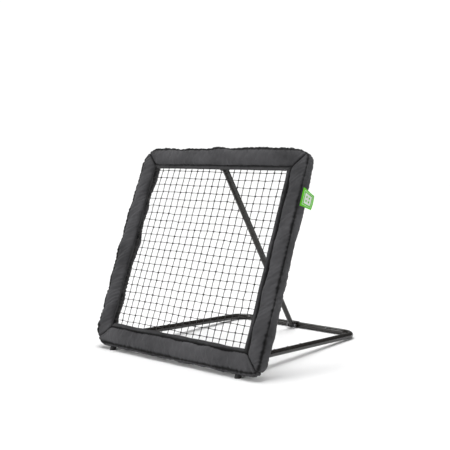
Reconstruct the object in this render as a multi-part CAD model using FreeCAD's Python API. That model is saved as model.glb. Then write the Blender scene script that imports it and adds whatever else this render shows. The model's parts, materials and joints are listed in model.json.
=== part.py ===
import FreeCAD, Part
import math
import os

V = FreeCAD.Vector

# Pitch back rebounder: a padded square net frame that leans back on a hinged floor frame,
# held by a telescopic strut. Millimetres and degrees. X is across, +Y to the rear, +Z up.
# The origin is the centre of the footprint, on the ground.

# padded rebound frame, measured across and up its own face
frame_width = 840.0
frame_height = 840.0
frame_lean = 22.0            # back from the vertical
front_edge_height = 24.8     # ground to the sharp lower front edge
corner_radius = 58.0
bar_width = 86.0             # outer edge to net window
pad_width = 68.0             # the padded part of a bar; the rest is the flat hem
pad_depth = 43.0
cover_wall = 2.0
cover_round = 12.0
cover_gap = 0.3              # cover to foam, and foam to tube
hem_front = 3.0              # face of the hem behind the face of the pad
hem_thickness = 6.0
hem_fold = 2.0               # fold of the hem beside the pad
hem_corner = 1.0
tape_thickness = 2.0
tape_gap = 0.3
net_thickness = 2.4

# steel tube of both frames and of the strut
tube_od = 25.4
tube_wall = 1.2
tube_inset = 42.0            # outer edge of the padded frame to the hoop's axis
hoop_bend = 45.0
sleeve_gap = 0.1             # a joint sleeve inside its tube
sleeve_length = 120.0
screw_radius = 2.0
screw_head_radius = 4.0
screw_head_height = 2.4
screw_gap = 0.1
joint_screw_shank = 8.0
hoop_screw_shank = 6.0
tube_hole_past = 1.0         # how far a one-wall drill runs past the wall it makes a hole in

# floor frame
base_reach = 830.0           # lower front edge of the pad to the crossbar's axis, along Y
arm_spacing = 624.0
base_bend = 60.0
arm_end_straight = 67.0      # straight end of an arm's rear part, from its bend to the seam
crossbar_screw_inset = 16.0
crossbar_screw_angle = 35.0  # above the forward direction
base_sleeve_length = 80.0
plug_radius = 4.5
plug_height = 2.5
plug_first = 170.0           # first hole plug, from the arm's hinge
plug_pitch = 85.0
plug_count = 3
plug_stem_past = 2.0         # plug stem inside the tube's wall

# hinges between the frames
hinge_up = 11.0              # hinge axis from the hoop's lower axis, up the face
hinge_back = 36.5            # and behind it
top_pivot_down = 26.0        # strut pivot from the hoop's upper axis, down the face
top_pivot_back = 23.5
clevis_reach = 29.0          # crossbar axis to the clevis bolt
plate = 3.0
ear_gap = 0.5                # tube to bracket ear
ear_round = 10.0
strap_clear = 1.0            # pad to a bracket's strap
clevis_ground = 1.0          # lowest the clevis reaches
end_margin = 11.0            # tube end past a pivot
weld_gap = 0.05              # bracket bore round its tube
bolt_radius = 4.0
bolt_gap = 0.06
bolt_hole_gap = 0.03
nut_height = 6.5
nut_flats = 13.0
bolt_head_height = 4.5
bolt_head_radius = 7.0
bolt_head_dome = 2.7
bolt_tip_past = 1.0          # bolt's end beyond its nut
washer_radius = 8.0
washer_thickness = 1.6

# telescopic strut
strut_clearance = 0.4        # inner tube to the bore of the outer one
strut_exposed = 194.0        # bare inner tube between the collar and the clevis bolt
strut_overlap = 200.0
strut_play = 3.7             # free length of the clevis slot above the bolt
slot_gap = 0.4
foot_seat = 16.0             # inner tube's end above the clevis bolt
foot_stem = 26.0
top_flange = 2.5             # plug over the upper tube's end
inner_lip = 4.0              # plug over the inner tube's end
inner_plug_stem = 20.0
plug_bolt_gap = 1.5          # upper plug's stem to the pivot bolt
plug_fit = 0.15
collar_radius = 18.0
collar_length = 40.0
collar_lip = 6.0
collar_gap = 0.12
slide_gap = 0.35
stop_pin_radius = 2.5
stop_pin_from_bolt = 79.0
stop_pin_proud = 2.0
stop_pin_wall = 1.0          # the pin is a rolled spring pin
knob_radius = 15.0
knob_height = 14.0
knob_lobes = 6
knob_lobe_radius = 4.0
knob_lobe_out = 1.4          # lobe cutter's centre outside the knob
knob_round = 2.3
knob_bore_depth = 9.8        # lock screw's length inside the knob
collar_round = 2.0
boss_radius = 9.0
boss_reach = 26.0            # strut axis to the face of the collar's boss
knob_gap = 1.5

# rubber feet
foot_spacing = 644.0
foot_radius = 12.0
upper_foot_height = 9.0
foot_saddle = 3.2
foot_saddle_width = 32.0
foot_round = 4.0
foot_gap = 0.5               # foot to the cover, the foam and the hinge bracket
foot_screw_depth = 14.0      # screw head below the tip of an upper foot
foot_screw_past = 3.0        # screw's end inside the hoop's wall

# label
label_length = 66.0
label_width = 62.0
label_thickness = 1.4
label_start = 623.0          # lower edge, up the frame
label_gap = 0.4

reach_past = 60.0            # cutting blocks and drills run this far past what they cut
over = 1.0                   # and shorter cuts run over a face by this much


# ---- places worked out from the sizes above ----

tube_r = tube_od / 2
bore_r = tube_r - tube_wall
inner_od = tube_od - 2 * (tube_wall + strut_clearance)
inner_r = inner_od / 2
lean = math.radians(frame_lean)
front_most = cover_round * (math.sin(lean) + math.cos(lean) - 1)
footprint_middle = (front_most + base_reach + tube_r) / 2

half_width = frame_width / 2
hoop_x = half_width - tube_inset
hoop_low = tube_inset
hoop_high = frame_height - tube_inset
hoop_z = -pad_depth / 2
net_z = -hem_front - hem_thickness / 2


def turned(origin, degrees):
    """A frame whose Y axis is turned up from the rear by some degrees."""
    return FreeCAD.Placement(origin, FreeCAD.Rotation(V(1, 0, 0), degrees))


# face frame: Y runs up the padded face and Z stands out of its front
face = turned(V(0, -footprint_middle, front_edge_height), 90 - frame_lean)
hinge_in_face = V(0, hoop_low + hinge_up, hoop_z - hinge_back)
top_pivot_in_face = V(0, hoop_high - top_pivot_down, hoop_z - top_pivot_back)
hinge = face.multVec(hinge_in_face)
top_pivot = face.multVec(top_pivot_in_face)

# floor frame's own axes: Y runs from the hinge along the arms to the crossbar
crossbar = V(0, base_reach - footprint_middle, tube_r)
base_length = (crossbar - hinge).Length
base_slope = math.degrees(math.atan2(crossbar.z - hinge.z, crossbar.y - hinge.y))
base = turned(hinge, base_slope)
clevis_bolt_in_base = V(0, base_length - clevis_reach, 0)
clevis_pivot = base.multVec(clevis_bolt_in_base)

# strut axes: Y runs from the top pivot down to the clevis bolt
strut_length = (clevis_pivot - top_pivot).Length
strut_slope = math.degrees(math.atan2(clevis_pivot.z - top_pivot.z, clevis_pivot.y - top_pivot.y))
strut = turned(top_pivot, strut_slope)
collar_mouth = strut_length - strut_exposed
upper_tube_end = collar_mouth - collar_lip
inner_tube_top = collar_mouth - strut_overlap
inner_tube_end = strut_length - foot_seat
stop_pin_y = strut_length - stop_pin_from_bolt
knob_y = collar_mouth - collar_length / 2

arm_x = arm_spacing / 2
crossbar_length = arm_spacing - 2 * (base_bend + arm_end_straight)
ear_inner = tube_r + ear_gap
ear_outer = ear_inner + plate


origin = V(0, 0, 0)


# ---- shape helpers ----

def box(x0, x1, y0, y1, z0, z1):
    return Part.makeBox(x1 - x0, y1 - y0, z1 - z0, V(x0, y0, z0))


def rod(start, end, radius):
    run = end - start
    return Part.makeCylinder(radius, run.Length, start, run)


def rod_x(centre, x0, x1, radius):
    return rod(V(x0, centre.y, centre.z), V(x1, centre.y, centre.z), radius)


def ring_x(centre, x0, x1, outer, inner):
    return rod_x(centre, x0, x1, outer).cut(rod_x(centre, x0 - over, x1 + over, inner))


def tube(start, end, outer, inner):
    along = (end - start).normalize() * over
    return rod(start, end, outer).cut(rod(start - along, end + along, inner))


def plane_arc(centre, radius, start, angle, x):
    """Arc in the YZ plane at x, from a start angle through a signed angle, in radians."""
    def at(turn):
        return V(x, centre.y + radius * math.cos(turn), centre.z + radius * math.sin(turn))
    return Part.Arc(at(start), at(start + angle / 2), at(start + angle)).toShape()


def link_plate(c1, r1, c2, r2, x0, x1):
    """Flat link round two centres in the YZ plane, from x0 to x1."""
    run = c2 - c1
    reach = math.hypot(run.y, run.z)
    heading = math.atan2(run.z, run.y)
    spread = math.acos((r1 - r2) / reach)
    far = plane_arc(c2, r2, heading - spread, 2 * spread, x0)
    near = plane_arc(c1, r1, heading + spread, 2 * math.pi - 2 * spread, x0)
    side_a = Part.makeLine(far.Vertexes[1].Point, near.Vertexes[0].Point)
    side_b = Part.makeLine(near.Vertexes[1].Point, far.Vertexes[0].Point)
    outline = Part.Wire([far, side_a, near, side_b])
    return Part.Face(outline).extrude(V(x1 - x0, 0, 0))


def bent_path(points, radius):
    """Straight runs joined by tangent arcs of one radius."""
    edges = []
    here = points[0]
    for before, corner, after in zip(points, points[1:], points[2:]):
        back = (before - corner).normalize()
        on = (after - corner).normalize()
        turn = math.pi - back.getAngle(on)
        trim = radius * math.tan(turn / 2)
        first = corner + back * trim
        last = corner + on * trim
        middle = corner + (back + on).normalize() * (radius / math.cos(turn / 2) - radius)
        edges.append(Part.makeLine(here, first))
        edges.append(Part.Arc(first, middle, last).toShape())
        here = last
    edges.append(Part.makeLine(here, points[-1]))
    return Part.Wire(edges)


def swept(path, radius):
    start = path.Edges[0].Vertexes[0].Point
    along = path.Edges[0].Vertexes[1].Point - start
    section = Part.Wire([Part.makeCircle(radius, start, along)])
    return path.makePipeShell([section], True, False)


def rounded_rectangle(half_x, y0, y1, radius, z):
    xa, xb = -half_x, half_x
    q = radius * (1 - math.sqrt(0.5))
    edges = [
        Part.makeLine(V(xa + radius, y0, z), V(xb - radius, y0, z)),
        Part.Arc(V(xb - radius, y0, z), V(xb - q, y0 + q, z), V(xb, y0 + radius, z)).toShape(),
        Part.makeLine(V(xb, y0 + radius, z), V(xb, y1 - radius, z)),
        Part.Arc(V(xb, y1 - radius, z), V(xb - q, y1 - q, z), V(xb - radius, y1, z)).toShape(),
        Part.makeLine(V(xb - radius, y1, z), V(xa + radius, y1, z)),
        Part.Arc(V(xa + radius, y1, z), V(xa + q, y1 - q, z), V(xa, y1 - radius, z)).toShape(),
        Part.makeLine(V(xa, y1 - radius, z), V(xa, y0 + radius, z)),
        Part.Arc(V(xa, y0 + radius, z), V(xa + q, y0 + q, z), V(xa + radius, y0, z)).toShape(),
    ]
    return Part.Face(Part.Wire(edges))


def square_ring(inset, outer_radius, window_inset, z0, z1):
    """Flat ring of the padded frame between two insets, from z0 forward to z1."""
    outline = rounded_rectangle(half_width - inset, inset, frame_height - inset, outer_radius, z0)
    solid = outline.extrude(V(0, 0, z1 - z0))
    window_x = half_width - window_inset
    window_y = frame_height - window_inset
    return solid.cut(box(-window_x, window_x, window_inset, window_y, z0 - over, z1 + over))


def fillet_rim(solid, radius):
    """Round the front and back rims of a ring's outside."""
    faces = [f for f in solid.Faces if abs(f.normalAt(0, 0).z) > 0.9]
    rims = []
    for flat in faces:
        rims += flat.OuterWire.Edges
    return solid.makeFillet(radius, rims)


def screw(head_point, into, shank):
    """Pan head screw whose head sits on head_point and whose shank runs along into."""
    inward = V(into).normalize()
    head = rod(head_point, head_point - inward * screw_head_height, screw_head_radius)
    return head.fuse(rod(head_point, head_point + inward * shank, screw_radius))


def screw_hole(head_point, into, shank):
    inward = V(into).normalize()
    return rod(head_point - inward * over, head_point + inward * (shank + over), screw_radius + screw_gap)


def hexagon_x(centre, x0, x1, flats):
    corner = flats / math.sqrt(3)
    points = []
    for k in range(7):
        turn = math.radians(60 * k)
        points.append(V(x0, centre.y + corner * math.cos(turn), centre.z + corner * math.sin(turn)))
    return Part.Face(Part.makePolygon(points)).extrude(V(x1 - x0, 0, 0))


def pivot_bolt(centre, middle_x):
    """Domed bolt across a pair of ears, head to +X."""
    grip = ear_outer + washer_thickness
    tip = grip + nut_height + bolt_tip_past
    shank = rod_x(centre, middle_x - tip, middle_x + grip, bolt_radius)
    head = rod_x(centre, middle_x + grip, middle_x + grip + bolt_head_height, bolt_head_radius)
    outer_face = middle_x + grip + bolt_head_height
    rim = [e for e in head.Edges if hasattr(e.Curve, "Radius") and abs(e.CenterOfMass.x - outer_face) < 0.01]
    return shank.fuse(head.makeFillet(bolt_head_dome, rim))


def pivot_nut(centre, middle_x):
    outside = middle_x - ear_outer - washer_thickness
    nut = hexagon_x(centre, outside - nut_height, outside, nut_flats)
    return nut.cut(rod_x(centre, outside - nut_height - over, outside + over, bolt_radius + bolt_hole_gap))


def pivot_washers(centre, middle_x):
    pair = []
    for near in (ear_outer, -ear_outer - washer_thickness):
        pair.append(ring_x(centre, middle_x + near, middle_x + near + washer_thickness,
                           washer_radius, bolt_radius + bolt_hole_gap))
    return pair


# ---- rebound frame, built in the face frame ----

def hoop_half(end_y, far_y):
    """Path of one U of the hoop, open at end_y and crossing at far_y."""
    return bent_path([V(-hoop_x, end_y, hoop_z), V(-hoop_x, far_y, hoop_z),
                      V(hoop_x, far_y, hoop_z), V(hoop_x, end_y, hoop_z)], hoop_bend)


hoop_split = (hoop_low + hoop_high) / 2
lower_path = hoop_half(hoop_split, hoop_low)
upper_path = hoop_half(hoop_split, hoop_high)
hoop_clear = swept(lower_path, tube_r + cover_gap).fuse(swept(upper_path, tube_r + cover_gap))


def hoop_screw_points(side):
    points = []
    for offset in (-sleeve_length / 4, sleeve_length / 4):
        points.append(V(side * hoop_x, hoop_split + offset, hoop_z - tube_r))
    return points


def foot_axis(side, upper):
    """Where a foot's axis meets the hoop, and which way the foot points."""
    if upper:
        return V(side * foot_spacing / 2, hoop_high, hoop_z), V(0, 1, 0)
    return V(side * foot_spacing / 2, hoop_low, hoop_z), V(0, -1, 0)


def foot_reach(upper):
    """Hoop axis to the tip of a foot; a lower foot runs past the ground and is cut there."""
    if upper:
        return tube_inset + upper_foot_height
    below = (front_edge_height + hoop_z * math.sin(lean)) / math.cos(lean)
    return tube_inset + below + foot_radius


def foot_head_distance(upper):
    """Hoop axis to the seat of a foot's screw head, well up inside the rubber."""
    return tube_inset + upper_foot_height - foot_screw_depth


def foot_screw(side, upper):
    axis, out = foot_axis(side, upper)
    seat = axis + out * foot_head_distance(upper)
    return screw(seat, out * -1, foot_head_distance(upper) - bore_r + foot_screw_past)


def bracket_envelope(side):
    """The room round a hinge bracket's strap and ears that a lower foot is notched for."""
    low = side * arm_x - ear_outer - foot_gap
    high = side * arm_x + ear_outer + foot_gap
    strap = tube_r + weld_gap + plate + foot_gap
    return link_plate(V(0, hoop_low, hoop_z), strap, hinge_in_face, ear_round + foot_gap, low, high)


def foot(side, upper):
    axis, out = foot_axis(side, upper)
    body = rod(axis, axis + out * foot_reach(upper), foot_radius)
    if upper:
        tip = axis.y + foot_reach(upper)
        rim = [e for e in body.Edges if abs(e.CenterOfMass.y - tip) < 0.01]
        body = body.makeFillet(foot_round, rim)
    half = foot_saddle_width / 2
    saddle = rod_x(axis, axis.x - half, axis.x + half, tube_r + foot_saddle)
    outer = box(axis.x - half, axis.x + half, -reach_past, 0, -reach_past, reach_past)
    if upper:
        outer = box(axis.x - half, axis.x + half, 0, reach_past, -reach_past, reach_past)
    outer.translate(V(0, axis.y, axis.z))
    body = body.fuse(saddle.common(outer))
    body = body.cut(rod_x(axis, axis.x - half - over, axis.x + half + over, tube_r + weld_gap))
    if not upper:
        body = body.cut(bracket_envelope(side))
    seat = axis + out * foot_head_distance(upper)
    body = body.cut(rod(seat, seat + out * (foot_reach(upper) + over), screw_head_radius + screw_gap))
    body = body.cut(screw_hole(seat, out * -1, foot_head_distance(upper)))
    placed = body.copy()
    placed.Placement = face
    ground = box(-frame_width, frame_width, -frame_height, frame_height, -frame_height, 0)
    return placed.cut(ground)


def foot_passage(side, upper):
    """Clearance that a foot and its saddle need through the foam and the cover."""
    axis, out = foot_axis(side, upper)
    way = rod(axis, axis + out * (foot_reach(upper) + over), foot_radius + foot_gap)
    half = foot_saddle_width / 2 + foot_gap
    return way.fuse(rod_x(axis, axis.x - half, axis.x + half, tube_r + foot_saddle + foot_gap))


def saddle_shell(centre, toward, x0, x1, keep):
    """Part of a ring round a tube, up to keep past its centre towards a point."""
    shell = ring_x(centre, x0, x1, tube_r + weld_gap + plate, tube_r + weld_gap)
    run = toward - centre
    away = box(x0 - over, x1 + over, -reach_past, reach_past, -reach_past, keep)
    away.rotate(V(0, 0, 0), V(1, 0, 0), math.degrees(math.atan2(run.z, run.y)) - 90)
    away.translate(V(0, centre.y, centre.z))
    return shell.common(away)


def hoop_bracket(hoop_y, pivot, middle_x):
    """Two ears welded round the hoop, joined in front of it, with a pivot behind."""
    centre = V(middle_x, hoop_y, hoop_z)
    body = saddle_shell(centre, pivot, middle_x - ear_outer, middle_x + ear_outer, 0)
    for x0, x1 in ((-ear_outer, -ear_inner), (ear_inner, ear_outer)):
        ear = link_plate(centre, tube_r + weld_gap + plate, pivot, ear_round, middle_x + x0, middle_x + x1)
        body = body.fuse(ear)
    body = body.cut(rod_x(centre, middle_x - reach_past, middle_x + reach_past, tube_r + weld_gap))
    for side in (-1, 1):
        axis, out = foot_axis(side, False)
        body = body.cut(rod(axis, axis + out * foot_head_distance(False), screw_radius + screw_gap))
    return body.cut(rod_x(pivot, middle_x - reach_past, middle_x + reach_past, bolt_radius + bolt_hole_gap))


def bracket_passage(hoop_y, pivot, middle_x):
    """Room for a bracket, its tube and its bolt through the foam and the cover's back."""
    wide = ear_outer + washer_thickness + nut_height + bolt_tip_past + strap_clear * 2
    room = tube_r + plate + strap_clear
    low = min(hoop_y, pivot.y) - room
    high = max(hoop_y, pivot.y) + room
    return box(middle_x - wide, middle_x + wide, low, high, -pad_depth - over, hoop_z + room)


hinge_passages = []
for side in (-1, 1):
    hinge_passages.append(bracket_passage(hoop_low, hinge_in_face, side * arm_x))
top_passage = bracket_passage(hoop_high, top_pivot_in_face, 0)
foot_passages = [foot_passage(s, u) for s in (-1, 1) for u in (False, True)]


def back_slit(passage):
    """The part of a passage that opens the cover: its back wall only."""
    bounds = passage.BoundBox
    return box(bounds.XMin, bounds.XMax, bounds.YMin, bounds.YMax, bounds.ZMin, hoop_z)


foam_outer = cover_wall + cover_gap
foam = square_ring(foam_outer, corner_radius - foam_outer, pad_width - foam_outer,
                   -pad_depth + foam_outer, -foam_outer)
foam = fillet_rim(foam, cover_round - foam_outer)
foam = foam.cut(hoop_clear)
for passage in hinge_passages + [top_passage] + foot_passages:
    foam = foam.cut(passage)
for side in (-1, 1):
    for point in hoop_screw_points(side):
        pocket = screw_head_radius + cover_gap
        depth = V(0, 0, screw_head_height + cover_gap)
        foam = foam.cut(rod(point + V(0, 0, tube_r), point - depth, pocket))

cavity = square_ring(cover_wall, corner_radius - cover_wall, pad_width - cover_wall,
                     -pad_depth + cover_wall, -cover_wall)
cavity = fillet_rim(cavity, cover_round - cover_wall)
hem_back = -hem_front - hem_thickness
cover = square_ring(0, corner_radius, pad_width, -pad_depth, 0)
cover = fillet_rim(cover, cover_round).cut(cavity)
for passage in hinge_passages + [top_passage]:
    cover = cover.cut(back_slit(passage))
for passage in foot_passages:
    cover = cover.cut(passage)

# the flat hem is sewn to the pad's inner edge and folded over the tape
tape_inset = pad_width + hem_fold
slot_half = tape_thickness / 2 + tape_gap
hem = square_ring(pad_width, hem_corner, bar_width, hem_back, -hem_front)
hem = hem.cut(square_ring(tape_inset, hem_corner, bar_width + over, net_z - slot_half, net_z + slot_half))
tape = square_ring(tape_inset + tape_gap, hem_corner, bar_width - tape_gap,
                   net_z - tape_thickness / 2, net_z + tape_thickness / 2)


def bar_wedge(name):
    """The mitred share of the frame that one bar takes."""
    out = reach_past / 2
    deep = bar_width + out
    x_out, x_in = half_width + out, half_width - deep
    y_out, y_in = frame_height + out, frame_height - deep
    corners = {
        "left": [(-x_out, -out), (-x_in, deep), (-x_in, y_in), (-x_out, y_out)],
        "right": [(x_out, -out), (x_in, deep), (x_in, y_in), (x_out, y_out)],
        "bottom": [(-x_out, -out), (-x_in, deep), (x_in, deep), (x_out, -out)],
        "top": [(-x_out, y_out), (-x_in, y_in), (x_in, y_in), (x_out, y_out)],
    }[name]
    z0 = -pad_depth - over
    points = [V(x, y, z0) for x, y in corners + corners[:1]]
    return Part.Face(Part.makePolygon(points)).extrude(V(0, 0, pad_depth + 2 * over))


hoop_cutters = []
for side in (-1, 1):
    for point in hoop_screw_points(side):
        hoop_cutters.append(screw_hole(point, V(0, 0, 1), tube_r))
    for upper in (False, True):
        axis, out = foot_axis(side, upper)
        hoop_cutters.append(rod(axis, axis + out * (tube_r + tube_hole_past), screw_radius + screw_gap))


def hoop_tube(path):
    body = swept(path, tube_r).cut(swept(path, bore_r))
    for cutter in hoop_cutters:
        body = body.cut(cutter)
    return body


def hoop_sleeve(side):
    ends = [V(side * hoop_x, hoop_split + half, hoop_z) for half in (-sleeve_length / 2, sleeve_length / 2)]
    body = tube(ends[0], ends[1], bore_r - sleeve_gap, bore_r - sleeve_gap - tube_wall)
    for point in hoop_screw_points(side):
        body = body.cut(screw_hole(point, V(0, 0, 1), tube_r))
    return body


net_x = half_width - bar_width - tape_gap
net = box(-net_x, net_x, bar_width + tape_gap, frame_height - bar_width - tape_gap,
          net_z - net_thickness / 2, net_z + net_thickness / 2)

label = box(half_width + label_gap, half_width + label_gap + label_thickness,
            label_start, label_start + label_length, -label_width, -label_gap)


# ---- floor frame, built in the base frame ----

def base_arm(side):
    half_bar = crossbar_length / 2
    path = bent_path([V(side * arm_x, -end_margin, 0), V(side * arm_x, base_length, 0),
                      V(side * half_bar, base_length, 0)], base_bend)
    body = swept(path, tube_r).cut(swept(path, bore_r))
    drill = rod_x(origin, -reach_past, reach_past, bolt_radius + bolt_gap)
    drill.translate(V(side * arm_x, 0, 0))
    body = body.cut(drill)
    for k in range(plug_count):
        at = V(side * arm_x, plug_first + k * plug_pitch, 0)
        body = body.cut(rod(at, at + V(0, 0, tube_r + tube_hole_past), screw_radius + screw_gap))
    return body


def arm_plugs(side):
    plugs = []
    for k in range(plug_count):
        seat = V(side * arm_x, plug_first + k * plug_pitch, tube_r + weld_gap)
        dome_radius = (plug_radius ** 2 + plug_height ** 2) / (2 * plug_height)
        ball = Part.makeSphere(dome_radius, seat - V(0, 0, dome_radius - plug_height))
        dome = ball.common(rod(seat, seat + V(0, 0, dome_radius), plug_radius))
        plugs.append(dome.fuse(rod(seat, seat - V(0, 0, tube_wall + plug_stem_past), screw_radius)))
    return plugs


def crossbar_screw_direction():
    turn = math.radians(180 - crossbar_screw_angle)
    return V(0, math.cos(turn), math.sin(turn))


def crossbar_screw_seat(side):
    x = side * (crossbar_length / 2 - crossbar_screw_inset)
    return V(x, base_length, 0) + crossbar_screw_direction() * (tube_r + weld_gap)


def base_screw(side):
    return screw(crossbar_screw_seat(side), crossbar_screw_direction() * -1, joint_screw_shank)


def base_crossbar():
    half = crossbar_length / 2
    body = tube(V(-half, base_length, 0), V(half, base_length, 0), tube_r, bore_r)
    for side in (-1, 1):
        body = body.cut(screw_hole(crossbar_screw_seat(side), crossbar_screw_direction() * -1, tube_r))
    return body


def base_sleeve(side):
    middle = side * crossbar_length / 2
    half = base_sleeve_length / 2
    outer = bore_r - sleeve_gap
    body = tube(V(middle - half, base_length, 0), V(middle + half, base_length, 0), outer, outer - tube_wall)
    return body.cut(screw_hole(crossbar_screw_seat(side), crossbar_screw_direction() * -1, tube_r))


def strut_clevis():
    """Ears in front of the crossbar, joined by a strap over its top."""
    centre = V(0, base_length, 0)
    body = saddle_shell(centre, centre + V(0, -1, -1), -ear_outer, ear_outer, 0)
    for x0, x1 in ((-ear_outer, -ear_inner), (ear_inner, ear_outer)):
        ear = link_plate(centre, tube_r + weld_gap + plate, clevis_bolt_in_base, ear_round, x0, x1)
        body = body.fuse(ear)
    body = body.cut(rod_x(centre, -reach_past, reach_past, tube_r + weld_gap))
    body = body.cut(rod_x(clevis_bolt_in_base, -reach_past, reach_past, bolt_radius + bolt_hole_gap))
    placed = body.copy()
    placed.Placement = base
    ground = box(-reach_past, reach_past, -base_reach, base_reach, -reach_past, clevis_ground)
    return placed.cut(ground)


# ---- strut, built in the strut frame ----

knob_axis = V(0, knob_y, 0)
stop_pin_axis = V(0, stop_pin_y, 0)


def strut_upper_tube():
    body = tube(V(0, -end_margin, 0), V(0, upper_tube_end, 0), tube_r, bore_r)
    body = body.cut(rod_x(origin, -reach_past, reach_past, bolt_radius + bolt_gap))
    return body.cut(rod(knob_axis, knob_axis + V(0, 0, reach_past), bolt_radius + 2 * slot_gap))


def strut_top_plug():
    flange = rod(V(0, -end_margin - top_flange, 0), V(0, -end_margin, 0), tube_r)
    stem_end = -bolt_radius - plug_bolt_gap
    return flange.fuse(rod(V(0, -end_margin, 0), V(0, stem_end, 0), bore_r - plug_fit))


def strut_collar():
    back = collar_mouth - collar_length
    body = rod(V(0, back, 0), V(0, collar_mouth, 0), collar_radius)
    rims = [e for e in body.Edges if hasattr(e.Curve, "Radius")]
    body = body.makeFillet(collar_round, rims)
    body = body.fuse(rod(knob_axis, knob_axis + V(0, 0, boss_reach), boss_radius))
    body = body.cut(rod(V(0, back - over, 0), V(0, upper_tube_end + plug_fit, 0), tube_r + collar_gap))
    body = body.cut(rod(V(0, back, 0), V(0, collar_mouth + over, 0), inner_r + slide_gap))
    return body.cut(rod(knob_axis, knob_axis + V(0, 0, boss_reach + over), bolt_radius + bolt_gap))


def lock_knob():
    under = knob_axis + V(0, 0, boss_reach + knob_gap)
    top = under + V(0, 0, knob_height)
    past = V(0, 0, over)
    hub = rod(under, top, knob_radius)
    rims = [e for e in hub.Edges if hasattr(e.Curve, "Radius")]
    hub = hub.makeFillet(knob_round, rims)
    for k in range(knob_lobes):
        turn = math.radians(360 * k / knob_lobes)
        out = V(math.cos(turn), math.sin(turn), 0) * (knob_radius + knob_lobe_out)
        hub = hub.cut(rod(under + out - past, top + out + past, knob_lobe_radius))
    return hub.cut(rod(under - past, under + V(0, 0, knob_bore_depth), bolt_radius))


def lock_screw():
    tip = inner_r + slide_gap
    top = boss_reach + knob_gap + knob_bore_depth
    return rod(knob_axis + V(0, 0, tip), knob_axis + V(0, 0, top), bolt_radius)


def strut_lower_tube():
    body = tube(V(0, inner_tube_top, 0), V(0, inner_tube_end, 0), inner_r, inner_r - tube_wall)
    return body.cut(rod_x(stop_pin_axis, -inner_od, inner_od, stop_pin_radius + screw_gap))


def strut_inner_plug():
    top = V(0, inner_tube_top, 0)
    lip = rod(top - V(0, inner_lip, 0), top, bore_r - sleeve_gap)
    return lip.fuse(rod(top, top + V(0, inner_plug_stem, 0), inner_r - tube_wall - plug_fit))


def strut_foot():
    """Rounded end of the inner tube, with a slot that rides on the clevis bolt."""
    body = rod(V(0, inner_tube_end, 0), V(0, strut_length, 0), inner_r)
    body = body.fuse(Part.makeSphere(inner_r, V(0, strut_length, 0)))
    stem = rod(V(0, inner_tube_end - foot_stem, 0), V(0, inner_tube_end, 0), inner_r - tube_wall - plug_fit)
    body = body.fuse(stem)
    slot_r = bolt_radius + slot_gap
    high = V(0, strut_length - strut_play, 0)
    low = V(0, strut_length, 0)
    return body.cut(link_plate(high, slot_r, low, slot_r, -inner_od, inner_od))


def strut_stop_pin():
    half = inner_r + stop_pin_proud
    return ring_x(stop_pin_axis, -half, half, stop_pin_radius, stop_pin_radius - stop_pin_wall)


# ---- every piece, by node name ----

def placed(shape, frame):
    copy = shape.copy()
    copy.Placement = frame.multiply(copy.Placement)
    return copy


nodes = {
    "hoop_lower_tube": [placed(hoop_tube(lower_path), face)],
    "hoop_upper_tube": [placed(hoop_tube(upper_path), face)],
    "net": [placed(net, face)],
    "net_binding_tape": [placed(tape, face)],
    "label": [placed(label, face)],
    "base_crossbar": [placed(base_crossbar(), base)],
    "base_joint_screws": [placed(base_screw(s), base) for s in (-1, 1)],
    "strut_clevis": [strut_clevis()],
    "clevis_bolt": [placed(pivot_bolt(clevis_bolt_in_base, 0), base)],
    "clevis_nut": [placed(pivot_nut(clevis_bolt_in_base, 0), base)],
    "clevis_washers": [placed(w, base) for w in pivot_washers(clevis_bolt_in_base, 0)],
    "strut_top_bracket": [placed(hoop_bracket(hoop_high, top_pivot_in_face, 0), face)],
    "strut_top_bolt": [placed(pivot_bolt(top_pivot_in_face, 0), face)],
    "strut_top_nut": [placed(pivot_nut(top_pivot_in_face, 0), face)],
    "strut_top_washers": [placed(w, face) for w in pivot_washers(top_pivot_in_face, 0)],
    "strut_upper_tube": [placed(strut_upper_tube(), strut)],
    "strut_top_plug": [placed(strut_top_plug(), strut)],
    "strut_collar": [placed(strut_collar(), strut)],
    "lock_knob": [placed(lock_knob(), strut)],
    "lock_screw": [placed(lock_screw(), strut)],
    "strut_lower_tube": [placed(strut_lower_tube(), strut)],
    "strut_inner_plug": [placed(strut_inner_plug(), strut)],
    "strut_foot": [placed(strut_foot(), strut)],
    "strut_stop_pin": [placed(strut_stop_pin(), strut)],
}

hoop_screws = []
foot_screws = []
for word, side in (("left", -1), ("right", 1)):
    middle = side * arm_x
    pivot = V(middle, hinge_in_face.y, hinge_in_face.z)
    nodes["hoop_sleeve_" + word] = [placed(hoop_sleeve(side), face)]
    nodes["hinge_bracket_" + word] = [placed(hoop_bracket(hoop_low, pivot, middle), face)]
    nodes["hinge_bolt_" + word] = [placed(pivot_bolt(pivot, middle), face)]
    nodes["hinge_nut_" + word] = [placed(pivot_nut(pivot, middle), face)]
    nodes["hinge_washers_" + word] = [placed(w, face) for w in pivot_washers(pivot, middle)]
    nodes["base_arm_" + word] = [placed(base_arm(side), base)]
    nodes["base_sleeve_" + word] = [placed(base_sleeve(side), base)]
    nodes["arm_hole_plugs_" + word] = [placed(p, base) for p in arm_plugs(side)]
    nodes["lower_foot_" + word] = [foot(side, False)]
    nodes["upper_foot_" + word] = [foot(side, True)]
    hoop_screws += [placed(screw(p, V(0, 0, 1), hoop_screw_shank), face) for p in hoop_screw_points(side)]
    foot_screws += [placed(foot_screw(side, u), face) for u in (False, True)]
nodes["hoop_joint_screws"] = hoop_screws
nodes["foot_screws"] = foot_screws

for word in ("left", "right", "top", "bottom"):
    wedge = bar_wedge(word)
    nodes["foam_" + word] = [placed(s, face) for s in foam.common(wedge).Solids]
    nodes["cover_" + word] = [placed(s, face) for s in cover.common(wedge).Solids]
    nodes["hem_" + word] = [placed(s, face) for s in hem.common(wedge).Solids]

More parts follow.
